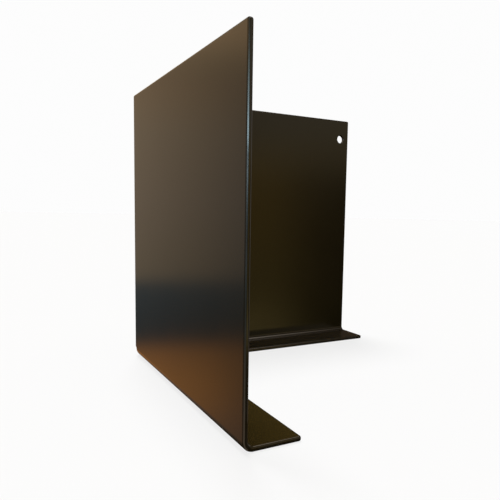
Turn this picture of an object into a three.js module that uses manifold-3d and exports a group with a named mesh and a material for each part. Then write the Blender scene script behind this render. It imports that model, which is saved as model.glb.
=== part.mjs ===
// Corner fireplace screen in powder-coated steel plate.
// Two bent panels, each a wall with its own foot, are bolted together along one vertical corner.
//
// Units are millimetres and +Z is up. The origin is on the floor, at the middle of the square that the
// screen covers. The side wall lies on the -X side and runs along Y. The front wall lies on the +Y side
// and runs along X. Both feet point into the corner.

import * as THREE from 'three';
import { mergeVertices } from 'three/addons/utils/BufferGeometryUtils.js';
import Module from 'manifold-3d';

// ---------------------------------------------------------------- driving dimensions

const HEIGHT = 400; // both walls
const SIDE_DEPTH = 400; // outside length of the side wall, along Y
const FRONT_WIDTH = 400; // outside length of the front wall, along X
const PLATE = 6; // thickness of the steel
const FOOT = 66; // from a wall's outer face to the tip of its foot
const SEAM_FLANGE = 58; // from the side wall's outer face to the edge of the seam flange

const FIXING_HOLE = 14; // diameter of the open hole in the front wall
const FIXING_FROM_SIDE = 17.5; // its centre, from the front wall's free edge
const FIXING_FROM_TOP = 34; // its centre, from the top edge

const SEAM_SCREWS = 3;
const SCREW_DIAMETER = 8;
const SCREW_LENGTH = 20;

// ---------------------------------------------------------------- sizes that follow from them

const BEND_INNER = PLATE; // inner radius of every bend is one plate thickness
const BEND_OUTER = BEND_INNER + PLATE;
const BEND_STEPS = 8; // flats in a quarter turn

const COAT_GAP = 0.3; // between the two panels: their powder coat
const SEAT_GAP = 0.1; // under a washer and under a nut
const MITRE_GAP = 1; // between the two feet
const RELIEF = 1; // notch past the two bend lines that meet at the foot of the corner
const CORNER_CLEARANCE = 1; // from the corner bend to the front panel's hidden edge

const FRONT_OUTER = PLATE + COAT_GAP; // front panel's outer face, behind the seam flange's
const FRONT_START = BEND_OUTER + CORNER_CLEARANCE;

const SCREW_FROM_CORNER = (FRONT_START + SEAM_FLANGE) / 2;
const HIGHEST_SCREW = HEIGHT - FIXING_FROM_TOP;
const LOWEST_SCREW = BEND_OUTER + FIXING_FROM_TOP;

const ROUND_STEPS = 24; // flats round a hole, a screw or a washer
const RUNNING_GAP = 0.3; // radial clearance round a screw inside its washer and nut
const CLEARANCE_HOLE = SCREW_DIAMETER + 1;

const SCREW_HEAD = 17.2; // countersunk head, 90 degrees
const HEAD_LAND = 0.4; // straight rim of the head
const COUNTERSINK = 18.4;
const SCREW_CHAMFER = 0.6;
const SOCKET_FLATS = 5;
const SOCKET_DEPTH = 3;

const WASHER_OUTER = 16;
const WASHER_THICKNESS = 1.6;

const NUT_FLATS = 13;
const NUT_HEX_HEIGHT = 6.5;
const NUT_HEIGHT = 15;
const NUT_DOME = 12.5;
const NUT_BORE_DEPTH = 11;

const CUT_MARGIN = 1; // how far a cutting solid stands past what it cuts

// ---------------------------------------------------------------- materials

const powderCoat = { color: 0x2b2721, roughness: 0.42, metalness: 0.35 };
const blackenedSteel = { color: 0x222326, roughness: 0.38, metalness: 0.8 };

// ---------------------------------------------------------------- solids

const wasm = await Module();
wasm.setup();

function toSolid(geometry) {
  const bare = geometry.clone();
  bare.deleteAttribute('normal');
  bare.deleteAttribute('uv');
  const merged = mergeVertices(bare, 1e-4);
  const vertProperties = new Float32Array(merged.attributes.position.array);
  const triVerts = new Uint32Array(merged.index.array);
  return new wasm.Manifold(new wasm.Mesh({ numProp: 3, vertProperties, triVerts }));
}

function toGeometry(solid) {
  const mesh = solid.getMesh();
  const geometry = new THREE.BufferGeometry();
  geometry.setAttribute('position', new THREE.BufferAttribute(mesh.vertProperties, 3));
  geometry.setIndex(new THREE.BufferAttribute(mesh.triVerts, 1));
  geometry.computeVertexNormals();
  return geometry;
}

function box(low, high) {
  const size = high.map((value, i) => value - low[i]);
  const geometry = new THREE.BoxGeometry(...size);
  geometry.translate(low[0] + size[0] / 2, low[1] + size[1] / 2, low[2] + size[2] / 2);
  return toSolid(geometry);
}

// A body of revolution about Y. Each point is [radius, y].
function turned(points) {
  const profile = points.map(([radius, y]) => new THREE.Vector2(radius, y));
  return new THREE.LatheGeometry(profile, ROUND_STEPS);
}

// A round bar along Y, between two values of y.
function bar(radius, low, high) {
  const profile = [[0, low], [radius, low], [radius, high], [0, high]];
  return turned(profile);
}

// A six-sided bar along Y, from y = low to y = high.
function hexBar(acrossFlats, low, high) {
  const radius = acrossFlats / Math.sqrt(3);
  const geometry = new THREE.CylinderGeometry(radius, radius, high - low, 6);
  geometry.translate(0, (low + high) / 2, 0);
  return geometry;
}

// Section of the plate bent once through a right angle. The outer faces meet at (0, 0). One leg runs up
// Y to the height given, and the other runs along X to the reach given.
function bentSection(height, reach) {
  const section = new THREE.Shape();
  section.moveTo(reach, 0);
  section.lineTo(reach, PLATE);
  section.lineTo(BEND_OUTER, PLATE);
  section.absarc(BEND_OUTER, BEND_OUTER, BEND_INNER, -Math.PI / 2, -Math.PI, true);
  section.lineTo(PLATE, height);
  section.lineTo(0, height);
  section.lineTo(0, BEND_OUTER);
  section.absarc(BEND_OUTER, BEND_OUTER, BEND_OUTER, Math.PI, Math.PI * 1.5, false);
  return section;
}

function extruded(shape, depth) {
  return new THREE.ExtrudeGeometry(shape, { depth, bevelEnabled: false, curveSegments: BEND_STEPS });
}

// A prism standing on a plan outline of [x, y] points, from below the floor to the top of the foot bend.
function footCutter(outline) {
  const shape = new THREE.Shape(outline.map(([x, y]) => new THREE.Vector2(x, y)));
  const geometry = extruded(shape, BEND_OUTER + CUT_MARGIN);
  geometry.translate(0, 0, -CUT_MARGIN);
  return toSolid(geometry);
}

// ---------------------------------------------------------------- panels
//
// Both panels are drawn from the outer corner: the side wall's outer face is x = 0, the seam flange's
// outer face is y = 0, and the screen lies in +x and -y.

function screwHeights() {
  const spacing = (HIGHEST_SCREW - LOWEST_SCREW) / (SEAM_SCREWS - 1);
  return Array.from({ length: SEAM_SCREWS }, (_, i) => LOWEST_SCREW + i * spacing);
}

// The 45 degree line that parts the feet runs through the inside of the corner. This gives its distance
// from the y = 0 face at a place x, moved across by the offset.
function mitre(x, offset) {
  return x + FRONT_OUTER + offset * Math.SQRT2;
}

function sidePanel() {
  const wallAndFoot = extruded(bentSection(HEIGHT, FOOT), SIDE_DEPTH - BEND_OUTER);
  wallAndFoot.rotateX(Math.PI / 2);
  wallAndFoot.translate(0, -BEND_OUTER, 0);

  const seamStart = BEND_OUTER + RELIEF;
  const seam = extruded(bentSection(BEND_OUTER + RELIEF, SEAM_FLANGE), HEIGHT - seamStart);
  seam.rotateX(Math.PI);
  seam.translate(0, 0, HEIGHT);

  const relief = box([-CUT_MARGIN, -seamStart, -CUT_MARGIN], [seamStart, CUT_MARGIN, seamStart]);
  const reach = FOOT + CUT_MARGIN;
  const mitreCut = footCutter([
    [-CUT_MARGIN, CUT_MARGIN],
    [-CUT_MARGIN, -mitre(-CUT_MARGIN, MITRE_GAP / 2)],
    [reach, -mitre(reach, MITRE_GAP / 2)],
    [reach, CUT_MARGIN],
  ]);

  let solid = toSolid(wallAndFoot).subtract(mitreCut).subtract(relief).add(toSolid(seam));
  for (const height of screwHeights()) {
    const sinkDepth = (COUNTERSINK - CLEARANCE_HOLE) / 2;
    const hole = turned([
      [0, -PLATE - CUT_MARGIN],
      [CLEARANCE_HOLE / 2, -PLATE - CUT_MARGIN],
      [CLEARANCE_HOLE / 2, -sinkDepth],
      [COUNTERSINK / 2, 0],
      [COUNTERSINK / 2, CUT_MARGIN],
      [0, CUT_MARGIN],
    ]);
    hole.translate(SCREW_FROM_CORNER, 0, height);
    solid = solid.subtract(toSolid(hole));
  }
  return toGeometry(solid);
}

function frontPanel() {
  const wallAndFoot = extruded(bentSection(HEIGHT, FOOT), FRONT_WIDTH - FRONT_START);
  wallAndFoot.rotateX(Math.PI / 2);
  wallAndFoot.rotateZ(-Math.PI / 2);
  wallAndFoot.translate(FRONT_WIDTH, -FRONT_OUTER, 0);

  const start = FRONT_START - CUT_MARGIN;
  const reach = FOOT + CUT_MARGIN;
  const mitreCut = footCutter([
    [start, -mitre(start, -MITRE_GAP / 2)],
    [start, -mitre(reach, -MITRE_GAP / 2)],
    [reach, -mitre(reach, -MITRE_GAP / 2)],
  ]);

  let solid = toSolid(wallAndFoot).subtract(mitreCut);
  const through = [-FRONT_OUTER - PLATE - CUT_MARGIN, -FRONT_OUTER + CUT_MARGIN];
  for (const height of screwHeights()) {
    const hole = bar(CLEARANCE_HOLE / 2, ...through);
    hole.translate(SCREW_FROM_CORNER, 0, height);
    solid = solid.subtract(toSolid(hole));
  }
  const fixingHole = bar(FIXING_HOLE / 2, ...through);
  fixingHole.translate(FRONT_WIDTH - FIXING_FROM_SIDE, 0, HEIGHT - FIXING_FROM_TOP);
  return toGeometry(solid.subtract(toSolid(fixingHole)));
}

// ---------------------------------------------------------------- fasteners
//
// Each is drawn along Y. A screw's head is at y = 0 and its shank points to -y. A washer and a nut have
// their seat at y = 0 and stand in -y.

function seamScrew() {
  const shank = SCREW_DIAMETER / 2;
  const head = SCREW_HEAD / 2;
  const body = turned([
    [0, 0],
    [head, 0],
    [head, -HEAD_LAND],
    [shank, -HEAD_LAND - (head - shank)],
    [shank, -SCREW_LENGTH + SCREW_CHAMFER],
    [shank - SCREW_CHAMFER, -SCREW_LENGTH],
    [0, -SCREW_LENGTH],
  ].reverse());
  const socket = hexBar(SOCKET_FLATS, -SOCKET_DEPTH, CUT_MARGIN);
  return toGeometry(toSolid(body).subtract(toSolid(socket)));
}

function seamWasher() {
  const inner = SCREW_DIAMETER / 2 + RUNNING_GAP;
  const outer = WASHER_OUTER / 2;
  return toGeometry(toSolid(turned([
    [inner, 0],
    [inner, -WASHER_THICKNESS],
    [outer, -WASHER_THICKNESS],
    [outer, 0],
    [inner, 0],
  ])));
}

function seamNut() {
  const domeRadius = NUT_DOME / 2;
  const domeStart = domeRadius - NUT_HEIGHT;
  const domeSteps = 6;
  const dome = Array.from({ length: domeSteps + 1 }, (_, i) => {
    const angle = (i / domeSteps) * Math.PI / 2;
    return [domeRadius * Math.sin(angle), domeStart - domeRadius * Math.cos(angle)];
  });
  dome[0][0] = 0;
  const cap = turned([...dome, [domeRadius, -CUT_MARGIN], [0, -CUT_MARGIN]]);
  const bore = bar(SCREW_DIAMETER / 2 + RUNNING_GAP, -NUT_BORE_DEPTH, CUT_MARGIN);
  const hex = hexBar(NUT_FLATS, -NUT_HEX_HEIGHT, 0);
  return toGeometry(toSolid(hex).add(toSolid(cap)).subtract(toSolid(bore)));
}

// ---------------------------------------------------------------- assembly

const screen = new THREE.Group();
const fromCorner = new THREE.Group();
fromCorner.position.set(-FRONT_WIDTH / 2, SIDE_DEPTH / 2, 0);
screen.add(fromCorner);

function place(name, geometry, finish, position = [0, 0, 0]) {
  const mesh = new THREE.Mesh(geometry, new THREE.MeshStandardMaterial(finish));
  mesh.name = name;
  mesh.position.set(...position);
  fromCorner.add(mesh);
}

place('side_panel', sidePanel(), powderCoat);
place('front_panel', frontPanel(), powderCoat);

const washerSeat = -FRONT_OUTER - PLATE - SEAT_GAP;
const nutSeat = washerSeat - WASHER_THICKNESS - SEAT_GAP;
const screwSeat = -SEAT_GAP;
screwHeights().forEach((height, i) => {
  place(`seam_screw_${i + 1}`, seamScrew(), blackenedSteel, [SCREW_FROM_CORNER, screwSeat, height]);
  place(`seam_washer_${i + 1}`, seamWasher(), blackenedSteel, [SCREW_FROM_CORNER, washerSeat, height]);
  place(`seam_nut_${i + 1}`, seamNut(), blackenedSteel, [SCREW_FROM_CORNER, nutSeat, height]);
});

export default screen;
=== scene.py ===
"""Looks of the corner fireplace screen: two bent and powder-coated plates, and the fasteners of their seam.

Metres, +Z up. The side wall lies on the -X side and the front wall on the +Y side, and both feet point
into the corner. A bearing is an angle in plan, counted from -Y towards -X, and the viewer stands at a
bearing of about 33 degrees.
"""

import math

import bmesh
import bpy
from mathutils import Matrix, Vector
from mathutils.geometry import tessellate_polygon


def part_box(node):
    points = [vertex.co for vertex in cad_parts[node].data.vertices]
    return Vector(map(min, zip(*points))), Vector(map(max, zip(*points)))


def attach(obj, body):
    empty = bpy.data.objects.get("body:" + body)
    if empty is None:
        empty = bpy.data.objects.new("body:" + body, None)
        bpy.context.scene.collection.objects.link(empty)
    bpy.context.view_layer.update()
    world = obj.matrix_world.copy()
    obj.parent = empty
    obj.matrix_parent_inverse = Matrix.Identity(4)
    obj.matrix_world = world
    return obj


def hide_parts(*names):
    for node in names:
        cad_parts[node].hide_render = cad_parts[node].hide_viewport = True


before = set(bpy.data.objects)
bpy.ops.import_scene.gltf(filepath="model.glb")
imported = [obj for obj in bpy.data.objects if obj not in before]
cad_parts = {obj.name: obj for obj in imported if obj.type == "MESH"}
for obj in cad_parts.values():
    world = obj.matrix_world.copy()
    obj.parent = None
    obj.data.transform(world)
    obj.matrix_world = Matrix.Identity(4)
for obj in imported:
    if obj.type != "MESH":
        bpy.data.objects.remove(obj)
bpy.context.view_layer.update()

# ---------------------------------------------------------------- sizes

MM = 0.001
QUARTER = math.pi / 2

side_low, side_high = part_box("side_panel")
front_low, front_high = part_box("front_panel")

PLATE = 6 * MM
BEND_OUTER = 2 * PLATE
BEND_LENGTH = (BEND_OUTER - PLATE / 2) * QUARTER  # along the middle of the plate
BEND_STEPS = 20
FOOT = side_high.x - side_low.x
SEAM_FLANGE = 58 * MM
RELIEF = 1 * MM  # notch past the two bend lines that meet at the foot of the corner
RELIEF_DEPTH = 0.6  # how far through the foot's bend the notch is cut, as a share of the bend
MITRE_GAP = 1 * MM
HEIGHT = side_high.z

EDGE = 2.4 * MM  # rounding of every free edge, coat included
HOLE_EDGE = 0.6 * MM  # rounding of the rims of the plain holes
EDGE_STEPS = 6
CORNER = EDGE + 0.1 * MM  # rounding of the plate's outline
CORNER_STEPS = 6

FIXING_HOLE = 14 * MM
FIXING_FROM_SIDE = 17.5 * MM
FIXING_FROM_TOP = 34 * MM
SCREW_HOLE = 9 * MM
COUNTERSINK = 18.4 * MM
COUNTERSINK_SOFT = 0.25 * MM  # how much its edges are blunted
HOLE_STEPS = 48
HOLE_CELL = 22 * MM  # half the square of plate that is meshed round each hole
GRID = 50 * MM  # largest cell on a flat part of the plate
TOUCHING = 1e-6  # points closer than this count as one


# ---------------------------------------------------------------- bent plates
#
# A panel is drawn flat, as it is cut: u runs along the wall, v up it, and w through the plate from its
# outer face (0) to its inner face. Each point carries its own normal, and the fold turns both.

def filleted(corners, radius):
    """The outline through these corners with each one rounded: [(point, outward normal), ...]."""
    outline = []
    for i, corner in enumerate(corners):
        before = (corner - corners[i - 1]).normalized()
        after = (corners[(i + 1) % len(corners)] - corner).normalized()
        turn = math.atan2(before.cross(after), before.dot(after))
        side = math.copysign(1, turn)
        start = corner - before * radius * math.tan(abs(turn) / 2)
        normal = Vector((before.y, -before.x))
        centre = start - normal * radius * side
        for step in range(CORNER_STEPS + 1):
            turned = Matrix.Rotation(turn * step / CORNER_STEPS, 2) @ normal
            outline.append((centre + turned * radius * side, turned))
    return outline


def circle(centre, radius):
    """A hole's outline. Its normals point out of the plate, into the hole."""
    spokes = []
    for step in range(HOLE_STEPS):
        angle = -2 * math.pi * step / HOLE_STEPS
        spoke = Vector((math.cos(angle), math.sin(angle)))
        spokes.append((centre + spoke * radius, -spoke))
    return spokes


def rounded_rim(radius):
    """The section of a free edge: [(inset, depth, normal across the edge, normal along w), ...]."""
    rim = []
    for step in range(EDGE_STEPS + 1):
        angle = QUARTER * step / EDGE_STEPS
        across, along = math.sin(angle), -math.cos(angle)
        rim.append((radius * (1 - across), radius * (1 + along), across, along))
    mirrored = [(inset, PLATE - depth, across, -along) for inset, depth, across, along in reversed(rim)]
    return rim + mirrored


def countersunk_rim():
    """The section of a hole sunk at 90 degrees from the outer face for a flush screw."""
    sink = (COUNTERSINK - SCREW_HOLE) / 2
    slope = math.sqrt(0.5)
    soft = COUNTERSINK_SOFT
    return [
        (sink + soft, 0, 0, -1),
        (sink - soft, soft, slope, -slope),
        (soft, sink - soft, slope, -slope),
        (0, sink + soft, 1, 0),
        (0, PLATE - 2 * soft, 1, 0),
        (soft, PLATE, 0, 1),
    ]


def add_rim(bm, loop, rim):
    """The faces round one outline. Returns its rings on the outer and the inner face."""
    normal_layer = bm.verts.layers.float_vector["flat_normal"]
    rim_layer = bm.verts.layers.float["rim"]
    rings = []
    for inset, depth, across, along in rim:
        ring = []
        for point, normal in loop:
            place = point - normal * inset
            vert = bm.verts.new((place.x, place.y, depth))
            vert[normal_layer] = (normal.x * across, normal.y * across, along)
            vert[rim_layer] = abs(across)
            ring.append(vert)
        rings.append(ring)
    for low, high in zip(rings, rings[1:]):
        for i in range(len(loop)):
            j = (i + 1) % len(loop)
            bm.faces.new((low[i], low[j], high[j], high[i]))
    return rings[0], rings[-1]


def cut(bm, axis, place):
    """Splits every face that crosses one line of the flat pattern, and keeps the points' own normals."""
    normal = Vector((0, 0, 0))
    normal[axis] = 1
    parts = bm.verts[:] + bm.edges[:] + bm.faces[:]
    bmesh.ops.bisect_plane(bm, geom=parts, dist=TOUCHING, plane_co=normal * place, plane_no=normal)


def open_cell(bm, centre, ring, depth):
    """Replaces the square of plate round a hole by faces that run from its border to the hole's ring."""
    def holds_centre(face):
        if any(abs(vert.co.z - depth) > TOUCHING for vert in face.verts):
            return False
        us = [vert.co.x for vert in face.verts]
        vs = [vert.co.y for vert in face.verts]
        return min(us) < centre.x < max(us) and min(vs) < centre.y < max(vs)

    cell = next(face for face in bm.faces if holds_centre(face))
    border = list(cell.verts)
    bm.faces.remove(cell)
    verts = border + ring
    facing = -1 if depth == 0 else 1
    for triangle in tessellate_polygon([[vert.co for vert in border], [vert.co for vert in ring]]):
        a, b, c = (verts[i] for i in triangle)
        if (b.co - a.co).cross(c.co - a.co).z * facing < 0:
            b, c = c, b
        bm.faces.new((a, b, c))


def divisions(low, high, step):
    """Evenly spaced values between two limits, no further apart than the step."""
    count = max(1, math.ceil((high - low) / step))
    return [low + (high - low) * i / count for i in range(1, count)]


def grid_lines(limits, bends, holes, axis):
    """Where to cut the flat pattern: close lines through the bends, a square round each hole, a grid."""
    lines = set()
    for start in bends:
        lines.update(start + BEND_LENGTH * step / BEND_STEPS for step in range(BEND_STEPS + 1))
    for centre, _, _ in holes:
        lines.update((centre[axis] - HOLE_CELL, centre[axis] + HOLE_CELL))
    lines = {line for line in lines if limits[0] < line < limits[1]}
    fixed = sorted(lines | set(limits))
    for low, high in zip(fixed, fixed[1:]):
        lines.update(divisions(low, high, GRID))
    return sorted(lines)


def bent_plate(name, corners, holes, bends, fold):
    """One coated plate: its outline, its [(centre, radius, rim), ...] holes, its bends and its fold."""
    bm = bmesh.new()
    bm.verts.layers.float_vector.new("flat_normal")
    bm.verts.layers.float.new("rim")
    outer, inner = add_rim(bm, filleted(corners, CORNER), rounded_rim(EDGE))
    bm.faces.new(outer[::-1])
    bm.faces.new(inner)
    for axis in (0, 1):
        limits = (min(c[axis] for c in corners), max(c[axis] for c in corners))
        for line in grid_lines(limits, bends[axis], holes, axis):
            cut(bm, axis, line)
    for centre, radius, rim in holes:
        outer, inner = add_rim(bm, circle(centre, radius), rim)
        open_cell(bm, centre, outer, 0)
        open_cell(bm, centre, inner, PLATE)

    normal_layer = bm.verts.layers.float_vector["flat_normal"]
    normals = []
    for vert in bm.verts:
        vert.co, normal = fold(vert.co, Vector(vert[normal_layer]))
        normals.append(normal.normalized())
    bm.verts.layers.float_vector.remove(normal_layer)
    mesh = bpy.data.meshes.new(name)
    bm.to_mesh(mesh)
    bm.free()
    mesh.shade_smooth()
    mesh.normals_split_custom_set_from_vertices(normals)
    return mesh


def bend(past):
    """How far a point past a bend line has turned, and how far it lies beyond the bend."""
    if past <= 0:
        return 0, past
    if past >= BEND_LENGTH:
        return QUARTER, past - BEND_LENGTH
    return past / BEND_LENGTH * QUARTER, 0


def bent_point(past, depth):
    """A point of a bent strip: (inward, onward) from the two outer faces' meeting line, and the turn."""
    angle, beyond = bend(past)
    radius = BEND_OUTER - depth
    inward = BEND_OUTER - radius * math.cos(angle)
    onward = BEND_OUTER - radius * math.sin(angle)
    if angle == 0:
        onward = BEND_OUTER - past
    elif angle == QUARTER:
        inward = BEND_OUTER + beyond
    return inward, onward, angle


def fold_side(flat, normal):
    """u = 0 at the side wall's free edge, v = 0 at the bend line of its foot."""
    u, v, w = flat
    n_u, n_v, n_w = normal
    if u > side_wall:
        inward, onward, angle = bent_point(u - side_wall, w)
        sin, cos = math.sin(angle), math.cos(angle)
        place = Vector((side_low.x + inward, side_high.y - onward, BEND_OUTER + v))
        return place, Vector((n_w * cos + n_u * sin, n_u * cos - n_w * sin, n_v))
    inward, onward, angle = bent_point(-v, w)
    sin, cos = math.sin(angle), math.cos(angle)
    place = Vector((side_low.x + inward, side_low.y + u, onward))
    return place, Vector((n_w * cos - n_v * sin, n_u, n_w * sin + n_v * cos))


def fold_front(flat, normal):
    """u = 0 at the front wall's hidden edge, v = 0 at the bend line of its foot."""
    u, v, w = flat
    n_u, n_v, n_w = normal
    inward, onward, angle = bent_point(-v, w)
    sin, cos = math.sin(angle), math.cos(angle)
    place = Vector((front_low.x + u, front_high.y - inward, onward))
    return place, Vector((n_u, n_v * sin - n_w * cos, n_w * sin + n_v * cos))


# The mitre between the feet runs at 45 degrees through the inside of the corner. Each foot stands back
# from it by half the gap, which is the gap times the root of a half when measured along the foot.
set_back = side_high.y - front_high.y
mitre_offset = MITRE_GAP * math.sqrt(0.5)
wall_height = HEIGHT - BEND_OUTER
foot_end = -BEND_LENGTH - (FOOT - BEND_OUTER)

side_length = side_high.y - side_low.y
side_wall = side_length - BEND_OUTER
side_mitre = side_length - set_back - mitre_offset
flange_end = side_wall + BEND_LENGTH + SEAM_FLANGE - BEND_OUTER
side_corners = [
    Vector((0, foot_end)),
    Vector((side_mitre - FOOT, foot_end)),
    Vector((side_mitre - BEND_OUTER, -BEND_LENGTH)),
    Vector((side_wall - RELIEF, -RELIEF_DEPTH * BEND_LENGTH)),
    Vector((side_wall - RELIEF, RELIEF)),
    Vector((flange_end, RELIEF)),
    Vector((flange_end, wall_height)),
    Vector((0, wall_height)),
]

front_length = front_high.x - front_low.x
front_inset = front_low.x - side_low.x
front_mitre = mitre_offset - front_inset
front_corners = [
    Vector((front_mitre + FOOT, foot_end)),
    Vector((front_length, foot_end)),
    Vector((front_length, wall_height)),
    Vector((0, wall_height)),
    Vector((0, front_mitre - BEND_LENGTH + BEND_OUTER)),
]

seam_levels = ("1", "2", "3")
fixing_centre = Vector((front_length - FIXING_FROM_SIDE, wall_height - FIXING_FROM_TOP))
side_holes = []
front_holes = [(fixing_centre, FIXING_HOLE / 2, rounded_rim(HOLE_EDGE))]
for level in seam_levels:
    low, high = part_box(f"seam_screw_{level}")
    across, up = (low.x + high.x) / 2, (low.z + high.z) / 2 - BEND_OUTER
    on_flange = side_wall + BEND_LENGTH + across - side_low.x - BEND_OUTER
    side_holes.append((Vector((on_flange, up)), SCREW_HOLE / 2, countersunk_rim()))
    front_holes.append((Vector((across - front_low.x, up)), SCREW_HOLE / 2, rounded_rim(HOLE_EDGE)))

side_bends = ((side_wall,), (-BEND_LENGTH,))  # where bends start along u and along v
front_bends = ((), (-BEND_LENGTH,))
side_mesh = bent_plate("side_panel_plate", side_corners, side_holes, side_bends, fold_side)
front_mesh = bent_plate("front_panel_plate", front_corners, front_holes, front_bends, fold_front)


# ---------------------------------------------------------------- turned and hexagonal fasteners
#
# Each is a stack of rings round the Y axis, from y = 0 at its seat or head towards -y. A ring is
# (y, radius), and the radius is a number or a function of the angle. Radius 0 closes the stack.

SPOKES = 48
SHARP_FROM = math.radians(32)  # edges that turn more than this are shaded sharp
THREAD_PITCH = 1.25 * MM
THREAD_DEPTH = 0.75 * MM
THREAD_STEP = THREAD_PITCH / 8  # height of one ring of a threaded shank
SHANK = 4 * MM  # radius
SOCKET_FLATS = 5 * MM
SOCKET_DEPTH = 3 * MM
WASHER_BORE = 4.3 * MM  # radius
NUT_BORE = 4.1 * MM  # radius
NUT_BORE_DEPTH = 10.5 * MM
NUT_HEXAGON = 6.5 * MM  # height of the hexagon under the dome
NUT_DOME = 6.25 * MM  # radius
DOME_END = 84  # degrees round the dome, short of its top, where the last ring lies


def hexagon(across_flats, limit=math.inf):
    """A six-sided outline with corners up and down, cut back to a circle of the limit's radius."""
    def radius(angle):
        return min(across_flats / 2 / math.cos(angle % math.radians(60) - math.radians(30)), limit)
    return radius


def thread(radius, y):
    """A threaded shank's outline at one height."""
    def at(angle):
        turn = (y / THREAD_PITCH + angle / (2 * math.pi)) % 1
        return radius - THREAD_DEPTH * abs(2 * turn - 1)
    return at


def stacked(name, rings, ring_closed=False):
    """The closed mesh through a stack of rings."""
    bm = bmesh.new()
    levels = []
    for y, radius in rings:
        if radius == 0:
            levels.append([bm.verts.new((0, y, 0))] * SPOKES)
            continue
        level = []
        for spoke in range(SPOKES):
            angle = 2 * math.pi * spoke / SPOKES
            r = radius(angle) if callable(radius) else radius
            level.append(bm.verts.new((r * math.sin(angle), y, r * math.cos(angle))))
        levels.append(level)
    pairs = list(zip(levels, levels[1:]))
    if ring_closed:
        pairs.append((levels[-1], levels[0]))
    for low, high in pairs:
        for i in range(SPOKES):
            j = (i + 1) % SPOKES
            corners = dict.fromkeys((low[i], low[j], high[j], high[i]))
            bm.faces.new(tuple(corners))
    bmesh.ops.recalc_face_normals(bm, faces=bm.faces[:])
    mesh = bpy.data.meshes.new(name)
    bm.to_mesh(mesh)
    bm.free()
    mesh.shade_smooth()
    mesh.set_sharp_from_angle(angle=SHARP_FROM)
    return mesh


def arc(centre_y, centre_radius, radius, start, end, steps):
    """Rings along an arc of a turned profile. Angles are in degrees from the radial direction to +y."""
    rings = []
    for step in range(steps + 1):
        angle = math.radians(start + (end - start) * step / steps)
        rings.append((centre_y + radius * math.sin(angle), centre_radius + radius * math.cos(angle)))
    return rings


# Each of these makers takes the piece's width along X and its length along Y.

def countersunk_screw(name, width, length):
    """M8 countersunk screw with a hexagon socket in its flush head."""
    head = width / 2
    land, soft, neck = 0.4 * MM, 0.15 * MM, 0.6 * MM
    drill_point, socket_taper = 0.8 * MM, 0.2 * MM
    mouth_depth, mouth_spread = 0.3 * MM, 0.5 * MM
    cone_end = -land - (head - SHANK)
    rings = [
        (-SOCKET_DEPTH - drill_point, 0),
        (-SOCKET_DEPTH, hexagon(SOCKET_FLATS - socket_taper)),
        (-SOCKET_DEPTH + soft, hexagon(SOCKET_FLATS)),
        (-mouth_depth, hexagon(SOCKET_FLATS)),
        (0, hexagon(SOCKET_FLATS + mouth_spread)),
    ]
    rings += arc(-soft, head - soft, soft, 90, 0, 3)
    rings += [(-land, head), (cone_end, SHANK), (cone_end - neck, SHANK)]
    y = cone_end - neck - THREAD_STEP
    while y > -length + THREAD_DEPTH:
        rings.append((y, thread(SHANK, y)))
        y -= THREAD_STEP
    rings += [(-length, SHANK - THREAD_DEPTH), (-length, 0)]
    return stacked(name, rings)


def plain_washer(name, width, thickness):
    """Washer with the slightly rounded edges of a stamping."""
    outer = width / 2
    soft = 0.3 * MM
    rings = arc(-soft, outer - soft, soft, 90, 0, 4)
    rings += arc(-thickness + soft, outer - soft, soft, 0, -90, 4)
    rings += arc(-thickness + soft, WASHER_BORE + soft, soft, -90, -180, 3)
    rings += arc(-soft, WASHER_BORE + soft, soft, 180, 90, 3)
    return stacked(name, rings, ring_closed=True)


def domed_nut(name, across_flats, height):
    """Domed cap nut with a hexagon chamfered at 30 degrees on both sides."""
    soft, lead_in, drill_point = 0.3 * MM, 0.6 * MM, 1 * MM
    chamfer_steps, dome_steps = 6, 14
    flat, corner = across_flats / 2, across_flats / math.sqrt(3)
    chamfer = (corner - flat) * math.tan(math.radians(30))
    rings = [
        (-NUT_BORE_DEPTH - drill_point, 0),
        (-NUT_BORE_DEPTH, NUT_BORE),
        (-lead_in, NUT_BORE),
        (0, NUT_BORE + lead_in),
    ]
    slope = []
    for step in range(chamfer_steps + 1):
        limit = flat - soft + (corner - flat + soft) * step / chamfer_steps
        slope.append((chamfer * step / chamfer_steps, hexagon(across_flats, limit)))
    rings += [(-rise, outline) for rise, outline in slope]
    rings += [(-NUT_HEXAGON + rise, outline) for rise, outline in reversed(slope)]
    rings += [(-NUT_HEXAGON - soft / 3, NUT_DOME + soft / 2), (-NUT_HEXAGON - soft, NUT_DOME)]
    rings += arc(NUT_DOME - height, 0, NUT_DOME, 0, -DOME_END, dome_steps)
    rings.append((-height, 0))
    return stacked(name, rings)


# ---------------------------------------------------------------- materials

COAT_DEEP = (0.0088, 0.0057, 0.0009, 1)
COAT_PALE = (0.0104, 0.0068, 0.0014, 1)
COAT_FLECK = (0.015, 0.011, 0.006, 1)
COAT_WORN = (0.014, 0.012, 0.009, 1)
COAT_ROUGHNESS = 0.16
RIM_SMOOTHER = 0.07  # taken from the roughness on the rims, where the coat flows out
WORN_ROUGHER = 0.03  # added to it where the coat is worn
PEEL_HEIGHT = 0.012 * MM
PEEL_SWELL = 0.8  # height of its long waves, as a share of the orange peel's
RIM_FLATTER = 0.8  # share of the orange peel that the rims lose
STEEL_DARK = (0.030, 0.030, 0.033, 1)
STEEL_PALE = (0.060, 0.056, 0.052, 1)
TOOLING_HEIGHT = 0.008 * MM


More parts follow.
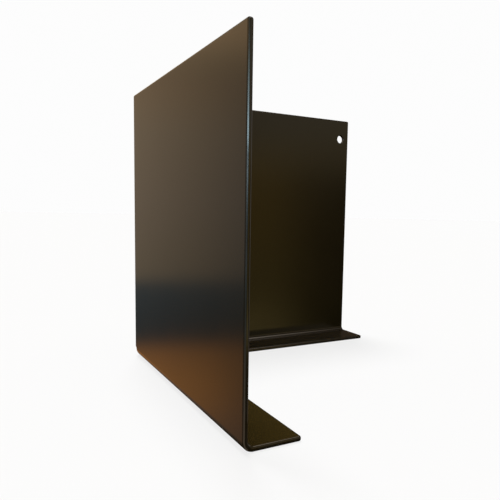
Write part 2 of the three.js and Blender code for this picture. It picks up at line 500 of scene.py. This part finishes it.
class Nodes:
    """Adds nodes to a tree. An input is given a value, or a socket to be linked to."""

    def __init__(self, owner):
        owner.use_nodes = True
        self.tree = owner.node_tree
        self.tree.nodes.clear()

    def add(self, kind, inputs=None, output=0, **settings):
        node = self.tree.nodes.new(kind)
        for key, value in settings.items():
            setattr(node, key, value)
        for key, value in (inputs or {}).items():
            if isinstance(value, bpy.types.NodeSocket):
                self.tree.links.new(value, node.inputs[key])
            else:
                node.inputs[key].default_value = value
        return node.outputs[output] if node.outputs else None

    def math(self, operation, *values):
        return self.add("ShaderNodeMath", dict(enumerate(values)), operation=operation)

    def ramp(self, factor, stops):
        """Colours at [(place, colour), ...] along a factor from 0 to 1."""
        socket = self.add("ShaderNodeValToRGB", {"Fac": factor})
        ramp = socket.node.color_ramp
        ramp.interpolation = "LINEAR"
        while len(ramp.elements) < len(stops):
            ramp.elements.new(1)
        for element, (place, colour) in zip(ramp.elements, stops):
            element.position = place
            element.color = (*colour, 1)
        return socket

    def noise(self, vector, scale, detail=2, roughness=0.5):
        """Noise from about 0 to 1. The scale is in blobs to the metre."""
        inputs = {"Vector": vector, "Scale": scale, "Detail": detail, "Roughness": roughness}
        return self.add("ShaderNodeTexNoise", inputs)

    def spread(self, factor, low, high, start=0.3, end=0.7):
        """A factor stretched so that start to end becomes low to high, and held at those limits."""
        inputs = {"From Min": start, "From Max": end, "To Min": low, "To Max": high}
        return self.add("ShaderNodeMapRange", {"Value": factor, **inputs})

    def mix(self, factor, a, b):
        """A colour between two. The node's colour sockets share their names, so they go by number."""
        inputs = {"Factor": factor, 6: a, 7: b}
        return self.add("ShaderNodeMix", inputs, output=2, data_type="RGBA")


def powder_coat():
    """Satin black powder coat: warm near-black, an orange peel of a millimetre or two, a little handling."""
    material = bpy.data.materials.new("powder_coat_satin")
    n = Nodes(material)
    place = n.add("ShaderNodeTexCoord", output="Object")
    rim = n.add("ShaderNodeAttribute", output="Fac", attribute_name="rim")

    cloud = n.noise(place, 7, detail=3)
    fleck = n.noise(place, 1500, detail=1)
    colour = n.mix(n.spread(cloud, 0, 1), COAT_DEEP, COAT_PALE)
    colour = n.mix(n.spread(fleck, 0, 0.35, start=0.5, end=0.8), colour, COAT_FLECK)
    blotch = n.spread(n.noise(place, 55, detail=4), 0.15, 0.6, start=0.35, end=0.65)
    worn = n.math("MULTIPLY", rim, blotch)
    colour = n.mix(worn, colour, COAT_WORN)

    handled = n.spread(n.noise(place, 14, detail=4, roughness=0.6), -0.012, 0.012)
    grain = n.spread(n.noise(place, 900, detail=1), -0.01, 0.01)
    roughness = n.math("ADD", COAT_ROUGHNESS, n.math("ADD", handled, grain))
    roughness = n.math("SUBTRACT", roughness, n.math("MULTIPLY", rim, RIM_SMOOTHER))
    roughness = n.math("ADD", roughness, n.math("MULTIPLY", worn, WORN_ROUGHER))

    peel = n.noise(place, 620, detail=2, roughness=0.45)
    swell = n.noise(place, 150, detail=1)
    height = n.math("ADD", peel, n.math("MULTIPLY", swell, PEEL_SWELL))
    strength = n.math("SUBTRACT", 1, n.math("MULTIPLY", rim, RIM_FLATTER))
    bump = n.add("ShaderNodeBump", {"Height": height, "Strength": strength, "Distance": PEEL_HEIGHT})
    shader = n.add("ShaderNodeBsdfPrincipled", {
        "Base Color": colour, "Roughness": roughness, "Normal": bump, "IOR": 1.5,
    })
    n.add("ShaderNodeOutputMaterial", {"Surface": shader})
    return material


def blackened_steel():
    """Oiled black oxide on machined steel."""
    material = bpy.data.materials.new("blackened_steel_oiled")
    n = Nodes(material)
    place = n.add("ShaderNodeTexCoord", output="Object")
    cloud = n.noise(place, 240, detail=3)
    colour = n.mix(n.spread(cloud, 0, 1), STEEL_DARK, STEEL_PALE)
    roughness = n.spread(n.noise(place, 700, detail=3), 0.30, 0.44)
    tooling = n.noise(place, 2600, detail=2)
    bump = n.add("ShaderNodeBump", {"Height": tooling, "Strength": 0.6, "Distance": TOOLING_HEIGHT})
    shader = n.add("ShaderNodeBsdfPrincipled", {
        "Base Color": colour, "Roughness": roughness, "Normal": bump, "Metallic": 0.85,
    })
    n.add("ShaderNodeOutputMaterial", {"Surface": shader})
    return material


# ---------------------------------------------------------------- assembly

coat = powder_coat()
steel = blackened_steel()


def show(mesh, material, node, place=(0, 0, 0)):
    """Puts one piece in the frame, where it stands for its CAD node."""
    mesh.transform(Matrix.Translation(place))
    mesh.materials.append(material)
    piece = bpy.data.objects.new(mesh.name, mesh)
    bpy.context.scene.collection.objects.link(piece)
    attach(piece, "root")
    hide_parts(node)


def show_fastener(node, ending, make):
    """Makes one fastener at the size of its CAD node, with its seat or head where the node's is."""
    low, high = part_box(node)
    mesh = make(f"{node}_{ending}", high.x - low.x, high.y - low.y)
    seat = ((low.x + high.x) / 2, high.y, (low.z + high.z) / 2)
    show(mesh, steel, node, seat)


show(side_mesh, coat, "side_panel")
show(front_mesh, coat, "front_panel")
for level in seam_levels:
    show_fastener(f"seam_screw_{level}", "countersunk", countersunk_screw)
    show_fastener(f"seam_washer_{level}", "plain", plain_washer)
    show_fastener(f"seam_nut_{level}", "domed", domed_nut)


# ---------------------------------------------------------------- stage
#
# The floor and the backdrop are seen by the camera only. The coat shows the room of the world instead.

STAGE_RADIUS = 25
BACKDROP = (0.98, 0.98, 0.98)
FLOOR_LIT = (0.04, 0.04, 0.04)  # the share that takes the shadow
FLOOR_GLOW = (0.81, 0.81, 0.81)  # the share that doesn't


def staged(name, bm, material):
    """Adds one part of the surroundings, which neither lights the object nor shows in its coat."""
    mesh = bpy.data.meshes.new(name)
    bm.to_mesh(mesh)
    bm.free()
    mesh.materials.append(material)
    piece = bpy.data.objects.new(name, mesh)
    bpy.context.scene.collection.objects.link(piece)
    piece.visible_diffuse = False
    piece.visible_glossy = False
    piece.visible_shadow = False


def floor_material():
    """A floor that mostly glows, so that shadows on it stay pale."""
    material = bpy.data.materials.new("pale_floor")
    n = Nodes(material)
    lit = n.add("ShaderNodeBsdfDiffuse", {"Color": (*FLOOR_LIT, 1)})
    glow = n.add("ShaderNodeEmission", {"Color": (*FLOOR_GLOW, 1)})
    shader = n.add("ShaderNodeAddShader", {0: lit, 1: glow})
    n.add("ShaderNodeOutputMaterial", {"Surface": shader})
    return material


def backdrop_material():
    material = bpy.data.materials.new("pale_backdrop")
    n = Nodes(material)
    shader = n.add("ShaderNodeEmission", {"Color": (*BACKDROP, 1)})
    n.add("ShaderNodeOutputMaterial", {"Surface": shader})
    return material


floor = bmesh.new()
bmesh.ops.create_circle(floor, cap_ends=True, segments=96, radius=STAGE_RADIUS)
staged("floor", floor, floor_material())
backdrop = bmesh.new()
bmesh.ops.create_uvsphere(backdrop, u_segments=96, v_segments=48, radius=STAGE_RADIUS)
staged("backdrop", backdrop, backdrop_material())


# ---------------------------------------------------------------- room and lamp
#
# The room is painted by elevation, and its brightness swings round with the bearing. Patches of it are
# brighter: a window behind the viewer, which the near edges show, and parts of the walls and the ceiling.
# Angles are in degrees, and each list of stops holds (elevation, colour).

BLACK = (0, 0, 0)
ELEVATION_RANGE = (-40, 75)
ROOM = [
    (-40, (0.05, 0.04, 0.03)),
    (-33, (0.06, 0.045, 0.03)),
    (-27, (0.24, 0.15, 0.10)),
    (-24.5, (0.28, 0.17, 0.115)),
    (-22.5, (0.25, 0.155, 0.115)),
    (-19, (0.17, 0.115, 0.095)),
    (-14.6, (0.25, 0.14, 0.085)),
    (-13.4, (0.055, 0.07, 0.08)),
    (-7.9, (0.085, 0.11, 0.125)),
    (-7.1, (0.20, 0.19, 0.18)),
    (1, (0.30, 0.26, 0.235)),
    (8, (0.355, 0.295, 0.245)),
    (13, (0.39, 0.285, 0.21)),
    (15, (0.48, 0.35, 0.22)),
    (18, (1.00, 0.66, 0.36)),
    (30, (0.60, 0.50, 0.38)),
    (60, (0.60, 0.56, 0.50)),
]
LIT_BEARING = 120  # the room is brightest this way
DARK_SIDE = 0.14  # and has this share of its brightness the other way
SWING_START, SWING_END = 0.2, 0.65  # cosines of the turn between which the brightness changes

WINDOW = [
    (-24, (1.00, 0.76, 0.56)),
    (-18, (0.68, 0.58, 0.48)),
    (-14, (0.30, 0.36, 0.36)),
    (-9, (0.18, 0.27, 0.31)),
    (-6, (0.50, 0.70, 0.80)),
    (-3.5, (0.26, 0.36, 0.42)),
    (0.5, (0.42, 0.68, 0.80)),
    (3, (1.45, 2.0, 2.3)),
    (5.0, (3.2, 4.2, 4.6)),
    (5.3, BLACK),
    (6.9, BLACK),
    (7.1, (7.2, 10.0, 11.2)),
    (9.2, (6.0, 8.2, 9.2)),
    (11, (3.4, 4.6, 5.0)),
    (12.8, (2.8, 3.8, 4.1)),
    (14, (1.7, 2.3, 2.4)),
    (16, (1.0, 1.2, 1.15)),
    (18, (0.35, 0.35, 0.3)),
    (30, BLACK),
]
WARM_WALL = [
    (-15.5, BLACK),
    (-13.5, (1.1, 0.84, 0.32)),
    (-12, (0.85, 0.62, 0.20)),
    (-9.5, (0.36, 0.26, 0.07)),
    (3, (0.50, 0.30, 0.05)),
    (8, BLACK),
]
GREY_WALL = [
    (3, BLACK),
    (5.5, (0.44, 0.33, 0.16)),
    (9, (0.46, 0.40, 0.30)),
    (20, (0.46, 0.40, 0.30)),
    (26, BLACK),
]
PALE_WALL = [(-8, BLACK), (-7, (0.13, 0.07, 0)), (12, (0.14, 0.075, 0)), (17, BLACK)]
WOOD = [
    (-25, BLACK),
    (-20.5, (0.44, 0.155, 0)),
    (-18.5, (0.48, 0.17, 0)),
    (-15, (0.27, 0.09, 0)),
    (-13.8, BLACK),
]
CEILING = [(50, BLACK), (65, (4.2, 3.6, 3.0))]
FAR_WALL = [
    (-32, BLACK),
    (-22, (0.30, 0.22, 0.15)),
    (-6, (0.34, 0.30, 0.25)),
    (10, (0.5, 0.46, 0.40)),
    (28, BLACK),
]
PATCHES = [  # bearing of the middle, half width, width of the soft sides, stops
    (30, 34, 12, WINDOW),
    (-27, 4, 5, WARM_WALL),
    (-38, 15, 8, GREY_WALL),
    (168, 14, 10, PALE_WALL),
    (168, 14, 10, WOOD),
    (262, 28, 24, FAR_WALL),
    (-20, 60, 30, CEILING),
]


def room_world():
    """The world that lights the object and shows in its coat: the room and its patches, added up."""
    world = bpy.data.worlds.new("room")
    n = Nodes(world)
    direction = n.add("ShaderNodeTexCoord", output="Generated")
    axes = n.add("ShaderNodeSeparateXYZ", {"Vector": direction}).node.outputs
    flip_x, flip_y = n.math("MULTIPLY", axes["X"], -1), n.math("MULTIPLY", axes["Y"], -1)
    bearing = n.math("ARCTAN2", flip_x, flip_y)
    low, high = ELEVATION_RANGE
    elevation = n.math("ARCSINE", axes["Z"])
    height = n.spread(elevation, 0, 1, start=math.radians(low), end=math.radians(high))

    def painted(stops):
        return n.ramp(height, [((angle - low) / (high - low), colour) for angle, colour in stops])

    swing = n.math("COSINE", n.math("SUBTRACT", bearing, math.radians(LIT_BEARING)))
    lit = n.spread(swing, DARK_SIDE, 1, start=SWING_START, end=SWING_END)
    total = n.add("ShaderNodeVectorMath", {0: painted(ROOM), "Scale": lit}, operation="SCALE")
    for towards, half_width, soft, stops in PATCHES:
        aside = n.math("WRAP", n.math("SUBTRACT", bearing, math.radians(towards)), math.pi, -math.pi)
        mask = n.add("ShaderNodeMapRange", {
            "Value": n.math("ABSOLUTE", aside),
            "From Min": math.radians(half_width - soft / 2),
            "From Max": math.radians(half_width + soft / 2),
            "To Min": 1.0,
            "To Max": 0.0,
        }, interpolation_type="SMOOTHSTEP")
        patch = n.add("ShaderNodeVectorMath", {0: painted(stops), "Scale": mask}, operation="SCALE")
        total = n.add("ShaderNodeVectorMath", {0: total, 1: patch}, operation="ADD")
    background = n.add("ShaderNodeBackground", {"Color": total})
    n.add("ShaderNodeOutputWorld", {"Surface": background})
    bpy.context.scene.world = world


def soft_sun(name, bearing, elevation, width, strength, colour):
    """A large soft light, far off. Bearing, elevation and apparent width are in degrees."""
    lamp = bpy.data.lights.new(name, "SUN")
    lamp.energy = strength
    lamp.angle = math.radians(width)
    lamp.color = colour
    light = bpy.data.objects.new(name, lamp)
    light.rotation_euler = (math.radians(90 - elevation), 0, math.radians(-bearing))
    light.visible_camera = False
    light.visible_glossy = False
    bpy.context.scene.collection.objects.link(light)


room_world()
soft_sun("overhead", bearing=180, elevation=70, width=20, strength=11.5, colour=(1.0, 1.0, 1.0))


# ---------------------------------------------------------------- camera

VIEW_FROM = Vector((-0.41205, -0.63515, 0.23029))
VIEW_YAW = 29.621  # degrees from +Y towards +X
VIEW_PITCH = 5.918  # degrees below level
VIEW_ROLL = 1.128  # degrees, the camera's left side down
LENS = 38.292  # mm, as is the sensor
SENSOR = 36
SHIFT = (-0.0576, 0.0334)  # shares of the sensor


def viewpoint():
    """The photo's camera, fitted to the outlines of the object."""
    data = bpy.data.cameras.new("viewpoint")
    data.sensor_width = SENSOR
    data.lens = LENS
    data.shift_x, data.shift_y = SHIFT
    data.clip_start = 0.01
    data.clip_end = 4 * STAGE_RADIUS
    camera = bpy.data.objects.new("viewpoint", data)
    bpy.context.scene.collection.objects.link(camera)
    turn = Matrix.Rotation(math.radians(-VIEW_YAW), 4, "Z")
    tilt = Matrix.Rotation(math.radians(90 - VIEW_PITCH), 4, "X")
    roll = Matrix.Rotation(math.radians(VIEW_ROLL), 4, "Z")
    camera.matrix_world = Matrix.Translation(VIEW_FROM) @ turn @ tilt @ roll
    bpy.context.scene.camera = camera


viewpoint()
bpy.context.scene.view_settings.view_transform = "Standard"

# ---------------------------------------------------------------- last update of the scene

bpy.context.view_layer.update()
